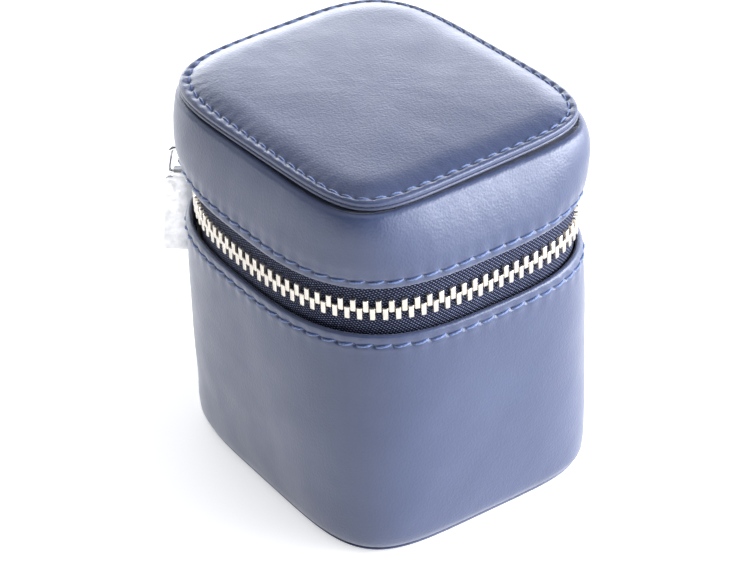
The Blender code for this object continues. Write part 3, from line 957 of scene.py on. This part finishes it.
def pull_pieces():
    """A wire ring, and a blade that hangs on it by a rolled barrel."""
    axes = pull_axes()
    corners = [(LINK_INNER, LINK_TOP), (LINK_OUTER_TOP, LINK_TOP), (LINK_OUTER_FOOT, LINK_FOOT),
               (LINK_INNER, LINK_FOOT)]
    path = [(a, 0.0, b) for a, b in rounded_shape(corners, 0.9, 8)]
    verts, faces = tube(path, 0.5, 14, closed=True)
    object_of("pull_ring", placed(verts, axes), faces, "link", NICKEL,
              replaces=("pull_link",))
    middle = (LINK_INNER + LINK_OUTER_FOOT) / 2
    half, low, high = TAB_WIDTH / 2, LINK_FOOT - TAB_LENGTH, LINK_FOOT - TAB_CLEAR
    shape = [(middle - half, low), (middle + half, low), (middle + half, high), (middle - half, high)]
    blade = plate(rounded_shape(shape, 1.0), -0.58, 0.58, 0.26)

    def rod(radius, half_length, bevel):
        around = np.arange(24) * TAU / 24
        circle = [(radius * math.cos(a), LINK_FOOT + radius * math.sin(a)) for a in around]
        return plate(circle, -half_length, half_length, bevel)

    barrel = rod(1.22, 1.38, 0.2)
    hole = rod(0.74, 2.5, 0.05)
    turn = Matrix(((0, 1, 0), (-1, 0, 0), (0, 0, 1))).to_4x4()
    for bm in (barrel, hole):
        bmesh.ops.transform(bm, matrix=Matrix.Translation((middle, 0, 0)) @ turn, verts=bm.verts)
    verts, faces = united([blade, barrel], [hole])
    object_of("pull_blade", placed(verts, axes), faces, "tab", SATIN,
              replaces=("pull_tab",))


# ---------------------------------------------------------------- rear hinge

STRAP_HALF = 18.5
STRAP_SEAMS = (46.1, 62.1)
STRAP_THREAD = 0.21
LIP_Z = 49.0
LID_LIP_Z = 59.0


def across_hinge(obj):
    """Bake a piece's placement into its mesh, in the frame's axes."""
    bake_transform(obj)


def rear_wall(z, out, angle):
    """Between the body's outline and the lid's, for pieces that cross the gap."""
    share = min(1.0, max(0.0, (z - LIP_Z) / (LID_LIP_Z - LIP_Z)))
    share = share * share * (3 - 2 * share)
    shape = eased(BODY_KEYS, min(z, LIP_Z)) * (1 - share) + eased(LID_KEYS, max(z, LID_LIP_Z)) * share
    point, normal = outline(shape, angle)
    return at_height(point + out * normal, z)


def strap_middle(z, angle):
    """The strap's middle layer, a little nearer where it crosses the zip, and the way out from it."""
    over = 0.28 - 0.12 * math.cos(math.pi * min(1.0, max(-1.0, (z - 54.0) / 5.0)))
    _, normal = outline(eased(BODY_KEYS, LIP_Z), angle)
    return rear_wall(z, over, angle), at_height(normal, 0.0)


def hinge_strap():
    """A leather tab sewn to body and lid, across the gap where they turn."""
    angle = np.radians(np.linspace(90 - STRAP_HALF, 90 + STRAP_HALF, 81))
    edge = np.minimum(1.0, (1 - np.abs(np.linspace(-1, 1, 81))) / 0.045)
    crown = np.sqrt(1 - (1 - edge) ** 2)
    outer, inner = [], []
    for z in spaced([(43.7, 0.12), (44.9, 0.45), (63.3, 0.12), (64.5, 1.0)]):
        end = min(1.0, min(z - 43.6, 64.6 - z) / 0.55)
        end = math.sqrt(max(0.0, 1 - (1 - end) ** 2))
        seam = -0.12 * sum(math.exp(-(((z - seam_z) / 0.45) ** 2)) for seam_z in STRAP_SEAMS)
        middle, away = strap_middle(z, angle)
        rise = 0.95 * crown * end + seam
        outer.append(middle + away * rise[:, None])
        inner.append(middle - 0.05 * away)
    grid = np.array(inner[::-1] + outer)
    strap = ring_piece("rear_strap", grid, None, LEATHER, closed=False,
                       replaces=("hinge_strap",))
    across_hinge(strap)


def hinge_lining():
    """The cloth gusset behind the strap."""
    angle = np.radians(np.linspace(90 - 21.0, 90 + 21.0, 61))
    profile = [(z, -3.1) for z in spaced([(60.4, 0.5), (48.9, 1.0)])]
    profile += [(z, -2.5) for z in spaced([(48.9, 0.5), (60.4, 1.0)])]
    grid = np.array([rear_wall(z, out, angle) for z, out in profile])
    lining = ring_piece("rear_gusset", grid, None, LINING, closed=False,
                        replaces=("hinge_lining",))
    across_hinge(lining)


def strap_stitches():
    """Two rows across the strap, one into the body and one into the lid."""
    step = 2.05 / 36.5
    t = np.linspace(-0.4, 0.4, 9)
    lift = 0.70 + 0.36 * np.cos(math.pi * t / 0.85) ** 0.5
    rows = (("strap_stitches_body", "case_body"), ("strap_stitches_lid", "lid"))
    for z, (name, body) in zip(STRAP_SEAMS, rows):
        parts = []
        for k in range(-8, 9):
            if abs(math.degrees(k * step)) > STRAP_HALF - 2.0:
                continue
            run, away = strap_middle(z, math.radians(90) + (k + t) * step)
            run += away * lift[:, None]
            run[:, 2] += 0.12 * t
            parts.append(tube(run, STRAP_THREAD, 8))
        verts, faces = joined(parts)
        object_of(name, verts, faces, body, THREAD)


# ---------------------------------------------------------------- inside

def shell(name, keys, profile, crown, body, material, nodes, columns=256):
    """A closed cup: the profile gives (z, inset) from the outside's middle round to the inside's."""
    angle = even_angles(eased(keys, profile[len(profile) // 2][0]), columns)
    rings = []
    for z, inset in profile:
        point, normal = outline(eased(keys, z), angle)
        rings.append(at_height(point - inset * normal, z))
    middle = rings[0][:, :2].mean(axis=0)
    first, last = rings[0], rings[-1]
    for scale in (0.75, 0.45, 0.2):
        flat = middle + (first[:, :2] - middle) * scale
        rings.insert(0, at_height(flat, profile[0][0]))
        flat = middle + (last[:, :2] - middle) * scale
        rings.append(at_height(flat, profile[-1][0] + crown * (1 - scale**2)))
    faces = fan_rows(rings)
    ends = [[*middle, profile[0][0]], [*middle, profile[-1][0] + crown]]
    verts = np.vstack([np.concatenate(rings), *ends])
    faces += fan(0, columns, len(verts) - 2, flip=True)
    faces += fan(columns * (len(rings) - 1), columns, len(verts) - 1)
    if profile[0][0] > profile[len(profile) // 2][0]:
        faces = [f[::-1] for f in faces]
    object_of(name, verts, faces, body, material, replaces=nodes)


def linings():
    """Two cloth-lined cups, each with a rolled edge over the wall."""
    body = [(5.3, 6.5), (5.6, 5.3), (6.8, 5.05)]
    body += [(z, 5.0) for z in spaced([(9.0, 6.0), (44.0, 1.0)])]
    body += [(46.9, 5.0), (46.95, 3.2), (47.3, 2.6), (47.8, 2.5), (48.25, 2.85), (48.42, 3.6),
             (48.32, 4.5), (47.9, 5.3), (47.0, 5.75)]
    body += [(z, 5.8) for z in spaced([(45.5, 6.0), (11.0, 1.0)])]
    body += [(9.0, 6.0), (7.5, 6.8), (6.8, 8.2), (6.4, 10.0)]
    shell("body_lining_cloth", BODY_KEYS, body, 0.5, "case_body", LINING,
          ("body_lining",))
    lid = [(71.6, 6.5), (71.3, 5.3), (70.2, 5.05)]
    lid += [(z, 5.0) for z in spaced([(68.5, 3.0), (61.6, 1.0)])]
    lid += [(61.0, 5.0), (60.9, 3.3), (60.2, 2.6), (59.7, 2.6), (59.35, 3.0), (59.2, 3.8), (59.35, 4.8),
            (59.8, 5.5), (60.8, 5.8)]
    lid += [(z, 5.85) for z in spaced([(62.0, 3.0), (68.0, 1.0)])]
    lid += [(69.3, 6.2), (70.2, 7.2), (70.7, 9.0)]
    shell("lid_lining_cloth", LID_KEYS, lid, -0.5, "lid", LINING,
          ("lid_lining",))


def padding():
    """The foam between leather and lining, unseen but part of the make-up."""
    outer, middle, inner = -1.6, -2.05, -2.5
    for name, keys, low, high, body, node in (
        ("body_wall_padding", BODY_KEYS, 3.2, 44.8, "case_body", "body_wall_foam"),
        ("lid_wall_padding", LID_KEYS, 63.0, 71.4, "lid", "lid_wall_foam"),
    ):
        angle = even_angles(eased(keys, low), 120)
        rise = spaced([(low + 0.5, 6.0), (high - 0.5, 1.0)])
        band = [(low, middle)] + [(z, outer) for z in rise]
        band += [(high, middle)] + [(z, inner) for z in rise[::-1]]
        grid = wall_points(keys, band, angle)
        ring_piece(name, grid, body, FOAM, replaces=(node,))
    for name, keys, low, high, inset, body, node in (
        ("base_pad", BODY_KEYS, 3.2, 5.0, 5.5, "case_body", "base_cushion"),
        ("lid_top_padding", LID_KEYS, 73.4, 74.6, 3.2, "lid", "lid_top_foam"),
    ):
        profile = [(low, inset + 0.6), (low + 0.2, inset + 0.1), ((low + high) / 2, inset),
                   (high - 0.2, inset + 0.1), (high, inset + 0.6)]
        shell(name, keys, profile, 0.2, body, FOAM, (node,), 120)


# ---------------------------------------------------------------- camera, light and floor

# Soft boxes in the sky: bearing and height in degrees, and strength. Each is full out to BOX_CORE
# degrees from its middle, and gone at BOX_EDGE.
SOFT_BOXES = [
    (295, 4, 3.6),
    (325, 8, 12.0),
    (352, 4, 2.2),
    (25, 0, 1.6),
    (55, 0, 4.2),
    (85, 0, 4.2),
    (280, 42, 0.4),
    (145, 42, 0.6),
    (0, 90, 1.35),
]
BOX_CORE = 8
BOX_EDGE = 36
FLOOR_GLOW = 0.5
FLOOR_HALF = 6.0
CAMERA_AT = (-231.16, -338.12, 305.52)
CAMERA_RIGHT = (0.81462, -0.57900, -0.03399)
CAMERA_UP = (0.34217, 0.43243, 0.83422)
CAMERA_LENS = 124.5


def camera():
    data = bpy.data.cameras.new("camera")
    obj = new_object("camera", data)
    right, up = Vector(CAMERA_RIGHT), Vector(CAMERA_UP)
    turn = Matrix((right, up, right.cross(up))).transposed().to_4x4()
    obj.matrix_world = Matrix.Translation(Vector(CAMERA_AT) * MM) @ turn
    data.sensor_width = 36.0
    data.lens = CAMERA_LENS
    data.clip_start = 0.02
    data.clip_end = 50.0
    bpy.context.scene.camera = obj


def pale_floor():
    mesh = bpy.data.meshes.new("floor")
    corners = [(FLOOR_HALF * a, FLOOR_HALF * b, 0) for a, b in ((-1, -1), (1, -1), (1, 1), (-1, 1))]
    mesh.from_pydata(corners, [], [(0, 1, 2, 3)])
    floor = new_object("floor", mesh)
    s = Shader("pale_floor")
    s.set(
        Base_Color=(0.95, 0.93, 0.88, 1.0),
        Roughness=0.9,
        Emission_Color=(1, 1, 1, 1),
        Emission_Strength=FLOOR_GLOW,
    )
    mesh.materials.append(s.material)
    floor.location.z = -0.0001


def studio():
    """A sky of soft boxes that lights the object, and plain white behind it."""
    world = bpy.data.worlds.new("studio")
    bpy.context.scene.world = world
    world.use_nodes = True
    nodes, links = world.node_tree.nodes, world.node_tree.links
    back = nodes["Background"]
    back.inputs["Color"].default_value = (0.95, 0.985, 1.07, 1.0)
    where = nodes.new("ShaderNodeTexCoord")
    light = None
    for bearing, height, gain in SOFT_BOXES:
        a, e = math.radians(bearing), math.radians(height)
        dot = nodes.new("ShaderNodeVectorMath")
        dot.operation = "DOT_PRODUCT"
        links.new(where.outputs["Generated"], dot.inputs[0])
        dot.inputs[1].default_value = (math.cos(a) * math.cos(e), math.sin(a) * math.cos(e), math.sin(e))
        lobe = nodes.new("ShaderNodeMapRange")
        lobe.interpolation_type = "SMOOTHSTEP"
        lobe.inputs["From Min"].default_value = math.cos(math.radians(BOX_EDGE))
        lobe.inputs["From Max"].default_value = math.cos(math.radians(BOX_CORE))
        lobe.inputs["To Min"].default_value = 0.0
        lobe.inputs["To Max"].default_value = gain
        links.new(dot.outputs["Value"], lobe.inputs["Value"])
        if light is None:
            light = lobe.outputs["Result"]
            continue
        total = nodes.new("ShaderNodeMath")
        links.new(light, total.inputs[0])
        links.new(lobe.outputs["Result"], total.inputs[1])
        light = total.outputs["Value"]
    path = nodes.new("ShaderNodeLightPath")
    pick = nodes.new("ShaderNodeMix")
    links.new(path.outputs["Is Camera Ray"], pick.inputs["Factor"])
    links.new(light, pick.inputs["A"])
    pick.inputs["B"].default_value = 1.0
    links.new(pick.outputs["Result"], back.inputs["Strength"])
    bpy.context.scene.view_settings.view_transform = "Standard"


camera()
pale_floor()
studio()
case_body()
lid_wall()
top_panel()
top_welt()
base_panel()
tape_band("lower_tape", 46.2, 51.1, "case_body", "lower_zip_tape")
tape_band("upper_tape", 61.6, 54.9, "lid", "upper_zip_tape")
zip_chain()
slider_body()
pull_pieces()
hinge_strap()
hinge_lining()
strap_stitches()
linings()
padding()

for name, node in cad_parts.items():
    if not node.hide_render:
        node.data.materials.clear()
        node.data.materials.append(BOARD if "board" in name else NICKEL)
